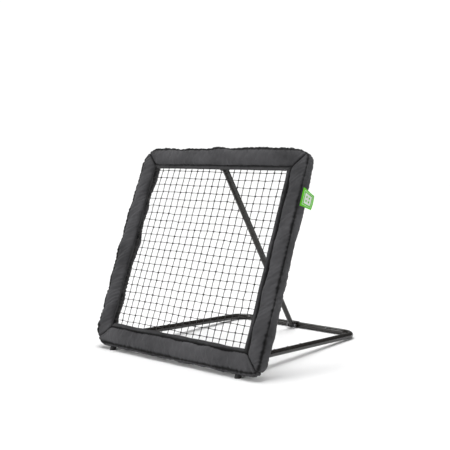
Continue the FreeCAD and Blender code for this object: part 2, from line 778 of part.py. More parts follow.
os.makedirs("parts", exist_ok=True)
for name, solids in nodes.items():
    for solid in solids:
        if not solid.isValid() or len(solid.Solids) != 1:
            print("check", name, solid.isValid(), len(solid.Solids))
    shape = solids[0] if len(solids) == 1 else Part.makeCompound(solids)
    shape.exportStep("parts/" + name + ".step")

hinge_arm = (top_pivot - hinge).Length
base_arm_length = (clevis_pivot - hinge).Length
opening = (top_pivot - hinge).getAngle(clevis_pivot - hinge)
strut_rate = hinge_arm * base_arm_length * math.sin(opening) / strut_length
print("nodes", len(nodes))
print("hinge", hinge, "top pivot", top_pivot, "clevis", clevis_pivot)
print("opening", math.degrees(opening), "strut length", strut_length, "strut slope", strut_slope)
print("strut mm per rad", strut_rate, "base slope", base_slope, "base length", base_length)
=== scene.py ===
import json
import math
import random

import bmesh
import bpy
from mathutils import Matrix, Vector, noise


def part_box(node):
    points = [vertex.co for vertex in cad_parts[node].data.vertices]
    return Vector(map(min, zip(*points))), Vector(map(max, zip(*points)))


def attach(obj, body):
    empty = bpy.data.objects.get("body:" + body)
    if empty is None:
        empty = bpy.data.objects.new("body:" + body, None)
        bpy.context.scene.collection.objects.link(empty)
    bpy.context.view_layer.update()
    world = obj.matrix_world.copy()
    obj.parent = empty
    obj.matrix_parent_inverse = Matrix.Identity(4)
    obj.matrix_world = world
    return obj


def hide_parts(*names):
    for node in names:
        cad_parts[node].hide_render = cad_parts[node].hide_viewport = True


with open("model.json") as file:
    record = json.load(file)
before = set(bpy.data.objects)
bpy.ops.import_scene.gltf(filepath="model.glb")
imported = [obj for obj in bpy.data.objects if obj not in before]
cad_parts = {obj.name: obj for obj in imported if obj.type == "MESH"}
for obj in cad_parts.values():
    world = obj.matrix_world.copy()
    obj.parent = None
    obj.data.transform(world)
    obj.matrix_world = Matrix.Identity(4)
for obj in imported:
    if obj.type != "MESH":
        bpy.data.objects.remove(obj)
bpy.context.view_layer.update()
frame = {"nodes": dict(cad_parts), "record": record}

nodes = frame["nodes"]
scene = bpy.context.scene
random.seed(7)

# the padded frame's own face: x across, y up the face, z out of its front
padFace = {
    "lean": math.radians(22.0),
    "size": 0.840,        # across and up
    "bar": 0.086,         # outer edge to the net window
    "depth": 0.043,       # front to back
    "corner": 0.058,      # radius of the outline's corners
    "netDepth": 0.006,    # front face to the middle of the CAD net
}


def boxMiddle(name):
    low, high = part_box(name)
    return (low + high) / 2


def faceToWorld():
    lean = padFace["lean"]
    up = Vector((0, math.sin(lean), math.cos(lean)))
    out = Vector((0, -math.cos(lean), math.sin(lean)))
    corner = boxMiddle("net") - up * padFace["size"] / 2 + out * padFace["netDepth"]
    columns = ((1, 0, 0, 0), (*up, 0), (*out, 0), (*corner, 1))
    return Matrix(columns).transposed()


faceMatrix = faceToWorld()
half = padFace["size"] / 2
tall = padFace["size"]


def deselectAll():
    if bpy.context.mode != "OBJECT":
        bpy.ops.object.mode_set(mode="OBJECT")
    bpy.ops.object.select_all(action="DESELECT")


def makeActive(piece):
    deselectAll()
    piece.select_set(True)
    bpy.context.view_layer.objects.active = piece


def addBlock(name, low, high):
    deselectAll()
    low, high = Vector(low), Vector(high)
    bpy.ops.mesh.primitive_cube_add(size=1, location=(low + high) / 2)
    block = bpy.context.object
    block.name = name
    block.scale = high - low
    bpy.ops.object.transform_apply(location=True, rotation=True, scale=True)
    return block


def pickEdges(piece, wanted):
    # edges are chosen in code, by their place
    makeActive(piece)
    bpy.ops.object.mode_set(mode="EDIT")
    bpy.ops.mesh.select_mode(type="EDGE")
    bpy.ops.mesh.select_all(action="DESELECT")
    mesh = bmesh.from_edit_mesh(piece.data)
    for edge in mesh.edges:
        edge.select_set(wanted(edge.verts[0].co, edge.verts[1].co))
    bmesh.update_edit_mesh(piece.data)


def leaveEdit():
    bpy.ops.object.mode_set(mode="OBJECT")


def bisectAway(piece, point, normal, fill=True):
    # cuts off what lies on the normal's side
    makeActive(piece)
    bpy.ops.object.mode_set(mode="EDIT")
    bpy.ops.mesh.select_all(action="SELECT")
    bpy.ops.mesh.bisect(plane_co=point, plane_no=normal, clear_outer=True, use_fill=fill)
    leaveEdit()


def applyModifier(piece, kind, **settings):
    makeActive(piece)
    modifier = piece.modifiers.new(kind.title(), kind)
    for key, value in settings.items():
        setattr(modifier, key, value)
    bpy.ops.object.modifier_apply(modifier=modifier.name)


def subtract(piece, cutter):
    applyModifier(piece, "BOOLEAN", object=cutter, operation="DIFFERENCE", solver="EXACT")
    bpy.data.objects.remove(cutter)


def copyPiece(piece, name):
    twin = piece.copy()
    twin.data = piece.data.copy()
    twin.name = name
    scene.collection.objects.link(twin)
    return twin


def joinPieces(pieces, name):
    deselectAll()
    for piece in pieces:
        piece.select_set(True)
    bpy.context.view_layer.objects.active = pieces[0]
    if len(pieces) > 1:
        bpy.ops.object.join()
    pieces[0].name = name
    return pieces[0]


def smoothShade(piece, degrees=None):
    makeActive(piece)
    if degrees is None:
        bpy.ops.object.shade_smooth()
    else:
        bpy.ops.object.shade_smooth_by_angle(angle=math.radians(degrees))


def dress(piece, material, slotName, body, *replaced):
    piece.data.materials.clear()
    piece.data.materials.append(material)
    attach(piece, body)
    if replaced:
        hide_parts(*replaced)


def newGroup(name, inputs, outputs):
    group = bpy.data.node_groups.new(name, "ShaderNodeTree")
    for label, kind, start in inputs:
        socket = group.interface.new_socket(name=label, in_out="INPUT", socket_type=kind)
        if start is not None:
            socket.default_value = start
    for label, kind in outputs:
        group.interface.new_socket(name=label, in_out="OUTPUT", socket_type=kind)
    entry = group.nodes.new("NodeGroupInput")
    leave = group.nodes.new("NodeGroupOutput")
    return group, entry, leave


def mathNode(tree, operation, a, b=None, c=None):
    node = tree.nodes.new("ShaderNodeMath")
    node.operation = operation
    for socket, value in zip(node.inputs, (a, b, c)):
        if value is None:
            continue
        if isinstance(value, (int, float)):
            socket.default_value = value
        else:
            tree.links.new(value, socket)
    return node.outputs[0]


def mixColour(tree, factor, first, second):
    node = tree.nodes.new("ShaderNodeMix")
    node.data_type = "RGBA"
    for socket, value in ((node.inputs[0], factor), (node.inputs[6], first), (node.inputs[7], second)):
        if hasattr(value, "is_output"):
            tree.links.new(value, socket)
        else:
            socket.default_value = value
    return node.outputs[2]


def buildWeave():
    # threads cross on every side of the piece, at one pitch
    group, entry, leave = newGroup("clothWeave", [("Vector", "NodeSocketVector", None),
                                                  ("Threads", "NodeSocketFloat", 1100.0)],
                                   [("Height", "NodeSocketFloat"), ("Fleck", "NodeSocketFloat")])
    split = group.nodes.new("ShaderNodeSeparateXYZ")
    group.links.new(entry.outputs["Vector"], split.inputs[0])
    waves = []
    for axis in range(3):
        turned = mathNode(group, "MULTIPLY", split.outputs[axis], entry.outputs["Threads"])
        waves.append(mathNode(group, "SINE", mathNode(group, "MULTIPLY", turned, math.tau)))
    pairs = [mathNode(group, "MULTIPLY", waves[a], waves[b]) for a, b in ((0, 1), (1, 2), (2, 0))]
    total = mathNode(group, "ADD", mathNode(group, "ADD", pairs[0], pairs[1]), pairs[2])
    height = mathNode(group, "MULTIPLY_ADD", total, 0.3, 0.5)
    group.links.new(height, leave.inputs["Height"])
    fleck = group.nodes.new("ShaderNodeTexNoise")
    fleck.inputs["Scale"].default_value = 900.0
    fleck.inputs["Detail"].default_value = 2.0
    group.links.new(entry.outputs["Vector"], fleck.inputs["Vector"])
    group.links.new(fleck.outputs["Fac"], leave.inputs["Fleck"])
    return group


def buildBlotch():
    # slow colour change over a surface, and fine grain, both about one half
    group, entry, leave = newGroup("surfaceBlotch", [("Vector", "NodeSocketVector", None),
                                                     ("Broad", "NodeSocketFloat", 12.0),
                                                     ("Fine", "NodeSocketFloat", 600.0)],
                                   [("Slow", "NodeSocketFloat"), ("Grain", "NodeSocketFloat")])
    for label, detail in (("Broad", 4.0), ("Fine", 3.0)):
        cloud = group.nodes.new("ShaderNodeTexNoise")
        cloud.inputs["Detail"].default_value = detail
        group.links.new(entry.outputs["Vector"], cloud.inputs["Vector"])
        group.links.new(entry.outputs[label], cloud.inputs["Scale"])
        group.links.new(cloud.outputs["Fac"], leave.inputs["Slow" if label == "Broad" else "Grain"])
    return group


clothWeave = buildWeave()
surfaceBlotch = buildBlotch()


def newMaterial(name):
    material = bpy.data.materials.new(name)
    material.use_nodes = True
    tree = material.node_tree
    shader = tree.nodes["Principled BSDF"]
    place = tree.nodes.new("ShaderNodeTexCoord").outputs["Object"]
    return material, tree, shader, place


def placeGroup(tree, group, vector, **values):
    node = tree.nodes.new("ShaderNodeGroup")
    node.node_tree = group
    tree.links.new(vector, node.inputs["Vector"])
    for key, value in values.items():
        node.inputs[key].default_value = value
    return node


def addBump(tree, shader, height, strength, distance):
    bump = tree.nodes.new("ShaderNodeBump")
    bump.inputs["Strength"].default_value = strength
    bump.inputs["Distance"].default_value = distance
    tree.links.new(height, bump.inputs["Height"])
    tree.links.new(bump.outputs["Normal"], shader.inputs["Normal"])


clothLook = {"fine": 500.0, "weaveRough": 0.12, "sheenRough": 0.45, "specular": 0.2, "bumpDepth": 0.0004}


def clothMaterial(name, look):
    material, tree, shader, place = newMaterial(name)
    turned = tree.nodes.new("ShaderNodeMapping")
    turned.inputs["Rotation"].default_value = (padFace["lean"] - math.pi / 2, 0, 0)
    tree.links.new(place, turned.inputs["Vector"])
    weave = placeGroup(tree, clothWeave, turned.outputs[0], Threads=look["threads"])
    blotch = placeGroup(tree, surfaceBlotch, place, Broad=look["broad"], Fine=clothLook["fine"])
    evenShade = 0.5 - look["blotch"] / 2   # keeps the mean shade half way
    shade = mathNode(tree, "MULTIPLY_ADD", blotch.outputs["Slow"], look["blotch"], evenShade)
    shade = mathNode(tree, "MULTIPLY_ADD", weave.outputs["Height"], look["weaveShade"], shade)
    shade = mathNode(tree, "MULTIPLY_ADD", weave.outputs["Fleck"], look["fleck"], shade)
    colour = mixColour(tree, shade, look["dark"], look["light"])
    if look["seam"]:
        # the seam mask mixes in the seam colour: dark thread, and painted shade in grooves and creases
        mark = tree.nodes.new("ShaderNodeAttribute")
        mark.attribute_name = "seam"
        colour = mixColour(tree, mark.outputs["Fac"], colour, look["seam"])
    tree.links.new(colour, shader.inputs["Base Color"])
    rough = mathNode(tree, "MULTIPLY_ADD", weave.outputs["Height"], clothLook["weaveRough"], look["rough"])
    tree.links.new(rough, shader.inputs["Roughness"])
    shader.inputs["Sheen Weight"].default_value = look["sheen"]
    shader.inputs["Sheen Roughness"].default_value = clothLook["sheenRough"]
    shader.inputs["Specular IOR Level"].default_value = clothLook["specular"]
    addBump(tree, shader, weave.outputs["Height"], look["bump"], clothLook["bumpDepth"])
    return material


coatRoughness = 0.12


def hardMaterial(name, look):
    material, tree, shader, place = newMaterial(name)
    blotch = placeGroup(tree, surfaceBlotch, place, Broad=look["broad"], Fine=look["fine"])
    colour = mixColour(tree, blotch.outputs["Slow"], look["dark"], look["light"])
    tree.links.new(colour, shader.inputs["Base Color"])
    rough = mathNode(tree, "MULTIPLY_ADD", blotch.outputs["Slow"], look["roughSpread"], look["rough"])
    rough = mathNode(tree, "MULTIPLY_ADD", blotch.outputs["Grain"], look["roughSpread"], rough)
    tree.links.new(rough, shader.inputs["Roughness"])
    shader.inputs["Metallic"].default_value = look["metal"]
    shader.inputs["Coat Weight"].default_value = look["coat"]
    shader.inputs["Coat Roughness"].default_value = coatRoughness
    addBump(tree, shader, blotch.outputs["Grain"], look["bump"], look["bumpDepth"])
    return material


seamBlack = (0.0012, 0.0012, 0.0014, 1)   # thread and shade in a pulled seam
charcoalCloth = clothMaterial("charcoalCloth", {
    "dark": (0.022, 0.022, 0.0235, 1), "light": (0.082, 0.081, 0.086, 1), "seam": seamBlack,
    "threads": 900.0, "broad": 7.0, "blotch": 1.7, "weaveShade": 0.07, "fleck": 0.1,
    "rough": 0.62, "sheen": 0.05, "bump": 0.25})
# the hem strip's cloth is the cover's cloth painted darker: painted shade for its recess along the net
shadedHemCloth = clothMaterial("shadedHemCloth", {
    "dark": (0.020, 0.020, 0.0215, 1), "light": (0.060, 0.0595, 0.062, 1), "seam": seamBlack,
    "threads": 900.0, "broad": 12.0, "blotch": 1.4, "weaveShade": 0.07, "fleck": 0.1,
    "rough": 0.62, "sheen": 0.05, "bump": 0.25})
blackTwine = clothMaterial("blackTwine", {
    "dark": (0.010, 0.009, 0.009, 1), "light": (0.035, 0.033, 0.032, 1), "seam": None,
    "threads": 1500.0, "broad": 60.0, "blotch": 0.6, "weaveShade": 0.3, "fleck": 0.2,
    "rough": 0.7, "sheen": 0.1, "bump": 0.8})
greenCloth = clothMaterial("greenCloth", {
    "dark": (0.06, 0.42, 0.008, 1), "light": (0.16, 0.68, 0.03, 1), "seam": (0.03, 0.2, 0.01, 1),
    "threads": 1300.0, "broad": 25.0, "blotch": 0.4, "weaveShade": 0.2, "fleck": 0.1,
    "rough": 0.6, "sheen": 0.1, "bump": 0.4})
whiteThread = clothMaterial("whiteThread", {
    "dark": (0.62, 0.64, 0.6, 1), "light": (0.86, 0.88, 0.84, 1), "seam": None,
    "threads": 2000.0, "broad": 60.0, "blotch": 0.3, "weaveShade": 0.25, "fleck": 0.1,
    "rough": 0.6, "sheen": 0.1, "bump": 0.5})
powderCoat = hardMaterial("powderCoat", {
    "dark": (0.005, 0.0042, 0.0032, 1), "light": (0.012, 0.0095, 0.0068, 1), "broad": 8.0, "fine": 900.0,
    "rough": 0.15, "roughSpread": 0.1, "metal": 0.0, "coat": 0.08, "bump": 0.1, "bumpDepth": 0.0003})
darkZinc = hardMaterial("darkZinc", {
    "dark": (0.10, 0.10, 0.105, 1), "light": (0.22, 0.22, 0.225, 1), "broad": 220.0, "fine": 1800.0,
    "rough": 0.24, "roughSpread": 0.16, "metal": 1.0, "coat": 0.0, "bump": 0.15, "bumpDepth": 0.0001})
footRubber = hardMaterial("footRubber", {
    "dark": (0.010, 0.010, 0.010, 1), "light": (0.026, 0.026, 0.026, 1), "broad": 60.0, "fine": 2200.0,
    "rough": 0.62, "roughSpread": 0.14, "metal": 0.0, "coat": 0.0, "bump": 0.3, "bumpDepth": 0.0002})
grainPlastic = hardMaterial("grainPlastic", {
    "dark": (0.013, 0.013, 0.014, 1), "light": (0.028, 0.028, 0.029, 1), "broad": 40.0, "fine": 2600.0,
    "rough": 0.38, "roughSpread": 0.14, "metal": 0.0, "coat": 0.0, "bump": 0.35, "bumpDepth": 0.00015})
paleFoam = hardMaterial("paleFoam", {
    "dark": (0.36, 0.36, 0.35, 1), "light": (0.5, 0.5, 0.49, 1), "broad": 80.0, "fine": 1500.0,
    "rough": 0.8, "roughSpread": 0.1, "metal": 0.0, "coat": 0.0, "bump": 0.6, "bumpDepth": 0.0005})
print("materials ready")


nodeFinish = {
    "frame_steel": powderCoat, "fastener_steel": darkZinc, "foot_rubber": footRubber,
    "black_plastic": grainPlastic, "foam": paleFoam, "cover_fabric": charcoalCloth,
    "net_twine": blackTwine, "net_tape": shadedHemCloth, "label_fabric": greenCloth,
}
for entry in frame["record"]["subparts"]:
    piece = nodes[entry["node"]]
    for holder in piece.material_slots:
        holder.material = nodeFinish[entry["material_slot"]]
print("frame dressed")


coverSet = {
    "frontRim": 0.005,     # rounding of the pad's outer rim
    "backRim": 0.005,
    "cornerSteps": 10, "rimSteps": 4,
    "voxel": 0.005,        # grid of the closed fabric skin
    "proud": 0.002,        # the fabric stands this far outside the foam's outline
    "shrinkIn": 0.001,     # the front starts this much lower, then swells
    "innerEdge": 0.072,    # the fabric meets the hem here
    "cap": 0.0045,         # the most that the fabric may swell
    "seamHold": 0.009,     # sewn edges keep their place this far round
    "sewnWeight": 0.9,
    "mitreHold": 0.004, "mitreEase": 0.012,   # held at the mitre, then let go over the second
    "frames": 20,          # steps of the swelling
    "subdivide": 1,
    "slitHalf": 0.021,     # half the width of a slit for a bracket
    "hingeSlit": (0.028, 0.068),   # up the face, round each hinge bracket
    "topSlit": (0.757, 0.806),     # round the strut's bracket
    "slitDepth": 0.019,
    "armX": 0.312,         # hinge brackets, from the middle
    "cutReach": 0.1,       # cutters run this far past the pad
    "wedgeReach": 0.6,
}
clothSet = {
    "quality": 4, "mass": 0.25, "tension_stiffness": 18, "compression_stiffness": 10,
    "shear_stiffness": 6, "bending_stiffness": 0.4, "use_pressure": True,
    "uniform_pressure_force": 4.0, "vertex_group_mass": "held", "shrink_min": -0.015,
}
diagonal = math.sqrt(0.5)
flatAngle = 50   # smooth shading stops at sharper edges, in degrees
barNames = ("left", "right", "top", "bottom")
# which way a bar's outer edge faces, in the face plane
outward = {"left": Vector((-1, 0, 0)), "right": Vector((1, 0, 0)),
           "top": Vector((0, 1, 0)), "bottom": Vector((0, -1, 0))}
middle = Vector((0, half, 0))


def insetOf(point, name):
    # distance from the bar's outer edge towards the window
    return half - (point - middle).dot(outward[name])


def alongOf(point, name):
    side = outward[name]
    return (point - middle).dot(Vector((-side.y, side.x, 0)))


def mitreNormal(name, turn):
    side = outward[name]
    return (Vector((-side.y, side.x, 0)) * turn - side).normalized()


def mitreCut(piece, name, past=0.0, fill=True):
    # each bar ends on the two diagonals of the square
    for turn in (1, -1):
        normal = mitreNormal(name, turn)
        bisectAway(piece, middle + normal * past, normal, fill)


def mitreKeep(piece, name, past):
    reach = Vector((coverSet["wedgeReach"], coverSet["wedgeReach"], coverSet["cutReach"]))
    wedge = addBlock("mitreWedge", middle - reach, middle + reach)
    mitreCut(wedge, name, past)
    applyModifier(piece, "BOOLEAN", object=wedge, operation="INTERSECT", solver="EXACT")
    bpy.data.objects.remove(wedge)


def ringBlank():
    shrink = coverSet["shrinkIn"]
    side = half + coverSet["proud"]
    back = -padFace["depth"]
    ring = addBlock("coverBlank", (-side, half - side, back), (side, half + side, -shrink))
    pickEdges(ring, lambda a, b: abs(a.z - b.z) > padFace["depth"] / 2)
    bpy.ops.mesh.bevel(offset=padFace["corner"], segments=coverSet["cornerSteps"], affect="EDGES")
    leaveEdit()
    for depth, rim in ((-shrink, coverSet["frontRim"]), (back, coverSet["backRim"])):
        pickEdges(ring, lambda a, b: abs(a.z - depth) < 1e-5 and abs(b.z - depth) < 1e-5)
        bpy.ops.mesh.bevel(offset=rim, segments=coverSet["rimSteps"], affect="EDGES")
        leaveEdit()
    inner, past = half - coverSet["innerEdge"], coverSet["cutReach"]
    window = addBlock("windowCutter", (-inner, half - inner, -past), (inner, half + inner, past))
    subtract(ring, window)
    slitTop = -padFace["depth"] + coverSet["slitDepth"]
    holes = [(x, coverSet["hingeSlit"]) for x in (-coverSet["armX"], coverSet["armX"])]
    holes.append((0.0, coverSet["topSlit"]))
    for x, (y0, y1) in holes:
        cutter = addBlock("slitCutter", (x - coverSet["slitHalf"], y0, -past),
                          (x + coverSet["slitHalf"], y1, slitTop))
        subtract(ring, cutter)
    return ring


def onSewnEdge(point, name):
    # the boxed edges: front outer, back outer and front inner
    inset = insetOf(point, name)
    hold = coverSet["seamHold"]
    front, back = -point.z < hold, -point.z > padFace["depth"] - hold
    return (inset < hold and (front or back)) or (inset > coverSet["innerEdge"] - hold and front)


def swell(piece):
    # a sealed fabric bag under light pressure, held along its mitres and sewn edges
    applyModifier(piece, "REMESH", mode="VOXEL", voxel_size=coverSet["voxel"])
    rest = [v.co.copy() for v in piece.data.vertices]
    name = piece["bar"]
    held = piece.vertex_groups.new(name="held")
    for vertex in piece.data.vertices:
        reach = half - insetOf(vertex.co, name)
        fromMitre = (reach - abs(alongOf(vertex.co, name))) * diagonal
        weight = max(0.0, 1.0 - max(0.0, fromMitre - coverSet["mitreHold"]) / coverSet["mitreEase"])
        weight = max(weight, coverSet["sewnWeight"] if onSewnEdge(vertex.co, name) else 0.0)
        if weight > 0:
            held.add([vertex.index], weight, "REPLACE")
    makeActive(piece)
    bpy.ops.object.modifier_add(type="CLOTH")
    cloth = piece.modifiers[-1]
    settings = cloth.settings
    for key, value in clothSet.items():
        setattr(settings, key, value)
    settings.effector_weights.gravity = 0
    cloth.collision_settings.use_collision = False
    cloth.point_cache.frame_start = 1
    cloth.point_cache.frame_end = coverSet["frames"]
    for number in range(1, coverSet["frames"] + 1):
        scene.frame_set(number)
    bpy.ops.object.modifier_apply(modifier=cloth.name)
    for vertex, start in zip(piece.data.vertices, rest):
        move = vertex.co - start
        if move.length > coverSet["cap"]:
            vertex.co = start + move * (coverSet["cap"] / move.length)
    scene.frame_set(1)


seamSet = {
    "outerPull": 0.0034,    # front panel to side panel
    "outerWidth": 0.0044,
    "outerBack": -0.003,    # the seam sits this far round the corner
    "outerWander": 0.0016, "wanderPitch": (38, 110),
    "seamSlope": 0.7,       # the seam is measured across the corner
    "outerZone": 0.034, "zoneFade": 2,   # past this far round, no seam
    "gather": 0.0019,       # gathers that run off the seams
    "gatherReach": 0.017, "hemReach": 0.0187,
    "gatherPitch": 0.0085, "hemPitch": 0.009775,
    "hemDrop": 0.0065,      # the pad's inner edge dips to the hem
    "hemWidth": 0.008, "hemZone": 0.026,
    "mitrePull": 0.0042,
    "mitreWidth": 0.0036,
    "mitreOver": 0.0016,    # each bar runs this far past the diagonal
    "mitreGuard": 0.008,    # near the mitre nothing moves along its normal
    "bow": {"left": 0.0105, "right": 0.001, "top": 0.005, "bottom": 0.004},
    "bowEase": 0.03, "bowSpan": half * 0.95,
    "broad": 0.0056,        # long soft waves in the padding
    "folds": {"left": 0.0044, "right": 0.0026, "top": 0.0032, "bottom": 0.0042},
    "foldShare": 0.6, "creaseShare": 1.3, "creaseEdge": 0.16,
    "slack": 0.0032,        # loose cloth on the outside near the corners
    "slackReach": 0.07, "slackDepth": 0.012,
    "outerDark": 0.0040, "outerDarkSpread": 0.0022,   # width of the dark line, of dark thread and painted shade in the seam's groove
    # dark thread with painted shade in the mitre's groove and in the pad's dip to the hem
    "mitreDark": 0.0026,
    "hemDark": 0.0036, "hemDarkSpread": 0.003, "hemDarkZone": 0.022,
}


def rough(x, y=0.0, z=0.0):
    return noise.noise(Vector((x, y, z)))


def fall(distance, reach):
    return math.exp(-((distance / reach) ** 2))


def pullSeams(s, normal, along, offset, depth, toSeam, toHem):
    # the outer seam's groove, the dip to the hem, and the gathers beside both
    slow = rough(along * 9, offset, 1.3)
    lift = rough(along / s["gatherPitch"], offset, depth * 35)
    gatherFade = math.exp(-toSeam / s["gatherReach"]) * (0.5 + abs(slow))
    groove = s["outerPull"] * fall(toSeam, s["outerWidth"]) * (1 + 0.5 * lift)
    shift = normal * (s["gather"] * lift * gatherFade - groove)
    pucker = rough(along / s["hemPitch"], offset + 9, 0.5)
    if depth < s["hemZone"]:
        hemFade = math.exp(-abs(toHem) / s["hemReach"]) * (0.35 + abs(slow) * 1.2)
        shift.z -= s["hemDrop"] * fall(toHem, s["hemWidth"]) * (1 + 0.35 * pucker)
        shift += normal * (s["gather"] * pucker * hemFade)
    return shift, slow, lift, pucker


def foldBar(s, name, normal, along, inset, offset, depth, fromMitre):
    # folds across the bar, and slack near the corners
    fold = rough(along * 24 + inset * 14, inset * 9 + offset, depth * 8)
    crease = rough(along * 62 + inset * 45, offset + 2, inset * 14)
    wave = rough(along * 13 + inset * 20, offset + 5, inset * 16 + depth * 9)
    amount = s["folds"][name] * (fold * s["foldShare"] + (s["creaseEdge"] - abs(crease)) * s["creaseShare"])
    nearCorner = math.exp(-fromMitre / s["slackReach"])
    onSide = min(1.0, max(0.0, (s["slackDepth"] - inset) / s["slackDepth"]))
    slack = s["slack"] * nearCorner * onSide * rough(along * 70, offset, depth * 12)
    return normal * amount + normal * (s["broad"] * wave) + normal * slack


def seamAndShadeLine(s, toSeam, toHem, fromMitre, depth, slow, lift, pucker):
    # how dark the seams are, from 0 to 1: dark thread, with painted shade in the groove of the outer seam,
    # the mitre and the pad's dip to the hem
    width = s["outerDark"] + s["outerDarkSpread"] * (slow + lift)
    dark = 1.5 * fall(toSeam, width) * (0.8 + 0.4 * lift)
    dark = max(dark, fall(fromMitre, s["mitreDark"]) * 0.9)
    if depth < s["hemDarkZone"]:
        width = s["hemDark"] + s["hemDarkSpread"] * slow
        dark = max(dark, fall(toHem, width) * (0.75 + 0.3 * pucker))
    return max(0.0, min(1.0, dark))


def sewBar(piece):
    # seams, gathers and folds, worked in after the swelling
    name = piece["bar"]
    side = outward[name]
    offset = barNames.index(name) * 3.7   # each bar has its own wrinkles
    mesh = piece.data
    normals = [v.normal.copy() for v in mesh.vertices]
    marks = mesh.attributes.new("seam", "FLOAT", "POINT")
    s = seamSet
    for vertex, normal in zip(mesh.vertices, normals):
        point = vertex.co.copy()
        inset, along = insetOf(point, name), alongOf(point, name)
        fromMitre = max(0.0, (half - inset - abs(along)) * diagonal)
        depth = -point.z
        long, short = (along * pitch for pitch in s["wanderPitch"])
        wander = s["outerWander"] * (rough(long, offset, 0.2) + 0.5 * rough(short, offset, 4.0))
        toSeam = abs(depth - inset - s["outerBack"] - wander) * s["seamSlope"]
        toSeam += max(0.0, depth + inset - s["outerZone"]) * s["zoneFade"]
        toHem = coverSet["innerEdge"] - inset
        shift, slow, lift, pucker = pullSeams(s, normal, along, offset, depth, toSeam, toHem)
        shift += normal * (-s["mitrePull"] * fall(fromMitre, s["mitreWidth"]))
        shift += foldBar(s, name, normal, along, inset, offset, depth, fromMitre)
        lean = mitreNormal(name, 1 if along > 0 else -1)
        shift -= lean * shift.dot(lean) * math.exp(-fromMitre / s["mitreGuard"])
        # the whole bar bows a little
        bow = s["bow"][name] * max(0.0, 1 - (along / s["bowSpan"]) ** 2)
        shift += side * bow * min(1.0, max(0.0, toHem / s["bowEase"]))
        vertex.co = point + shift
        marks.data[vertex.index].value = seamAndShadeLine(s, toSeam, toHem, fromMitre, depth, slow, lift, pucker)
    mesh.update()


def makeCover():
    ring = ringBlank()
    for name in barNames:
        bar = copyPiece(ring, "cover" + name.title())
        bar["bar"] = name
        mitreKeep(bar, name, seamSet["mitreOver"])
        swell(bar)
        applyModifier(bar, "SUBSURF", levels=coverSet["subdivide"], render_levels=coverSet["subdivide"])
        sewBar(bar)
        bar.data.transform(faceMatrix)
        smoothShade(bar)
        dress(bar, charcoalCloth, "cover_fabric", "rebound_frame", "cover_" + name, "foam_" + name)
        print("cover bar", name, len(bar.data.polygons))
    bpy.data.objects.remove(ring)


makeCover()


hemSet = {
    "from": 0.0600, "join": 0.0715,    # inset of the strip's hidden edge, and of where it comes out
    "to": {"left": 0.0765, "right": 0.0862, "top": 0.0862, "bottom": 0.0862},
    "face": 0.0042, "under": 0.009,    # depth of its face, and how far it tucks under the pad
    "thick": 0.0034, "round": 0.0008,
    "step": 0.0035, "rows": 9,
    "ripple": 0.0010, "ripplePitch": 0.011,
    "wander": {"left": 0.0050, "right": 0.0024, "top": 0.0016, "bottom": 0.0030},
    "crease": {"left": 0.0022, "right": 0.0060, "top": 0.0034, "bottom": 0.0042},   # dark wrinkled line: the seam, with painted shade where the strip comes out from under the pad
    "creaseLeast": 0.0008, "rim": 0.0014, "mitreLine": 0.002, "mitrePast": 0.0002,
}


def makeHem(name):
    s = hemSet
    side = outward[name]
    reach = half - s["from"]
    deselectAll()
    columns = int(2 * reach / s["step"])
    bpy.ops.mesh.primitive_grid_add(x_subdivisions=columns, y_subdivisions=s["rows"], size=1)
    strip = bpy.context.object
    strip.name = "hem" + name.title()
    offset = barNames.index(name) * 5.1   # each hem has its own wrinkles
    across = Vector((-side.y, side.x, 0))
    for vertex in strip.data.vertices:
        along = vertex.co.x * 2 * reach
        share = vertex.co.y + 0.5
        inset = s["from"] + (s["to"][name] - s["from"]) * share
        edge = rough(along * 13, offset) + 0.25 * rough(along * 42, offset)
        inset += s["wander"][name] * max(0.0, share * 2 - 1) * edge
        ripple = rough(along / s["ripplePitch"], offset, share * 2)
        tuck = max(0.0, s["join"] - inset) / (s["join"] - s["from"])
        z = -s["face"] - s["under"] * tuck ** 1.5 + s["ripple"] * ripple * (1.3 - share)
        spot = middle + side * (half - inset) + across * along
        vertex.co = Vector((spot.x, spot.y, z))
    mitreCut(strip, name, past=s["mitrePast"], fill=False)
    marks = strip.data.attributes.new("seam", "FLOAT", "POINT")
    for vertex in strip.data.vertices:
        inset, along = insetOf(vertex.co, name), alongOf(vertex.co, name)
        fromMitre = (half - inset - abs(along)) * diagonal
        # seam mask: painted shade with the seam's dark thread where the strip comes out from under the pad,
        # and darker along its rim and its mitre line
        uneven = 1.1 * rough(along * 7, offset, 2.0) + 0.7 * rough(along * 70, offset, 3.0)
        width = max(s["creaseLeast"], s["crease"][name] * (1 + uneven))
        crease = fall(max(0.0, inset - s["join"]), width)
        rim = fall(inset - s["to"][name], s["rim"]) * 0.7
        mitre = fall(fromMitre, s["mitreLine"]) * 0.8
        marks.data[vertex.index].value = min(1.0, max(crease, rim, mitre))
    faceForward(strip)
    applyModifier(strip, "SOLIDIFY", thickness=s["thick"], offset=-1.0)
    applyModifier(strip, "BEVEL", width=s["round"], segments=2, limit_method="ANGLE")
    strip.data.transform(faceMatrix)
    smoothShade(strip, flatAngle)
    dress(strip, shadedHemCloth, "cover_fabric", "rebound_frame", "hem_" + name)
    return strip


def faceForward(piece):
    makeActive(piece)
    if piece.data.polygons[0].normal.z < 0:
        piece.data.flip_normals()


hems = [makeHem(name) for name in barNames]
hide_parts("net_binding_tape")   # the tape is inside the hem
print("hems sewn on")


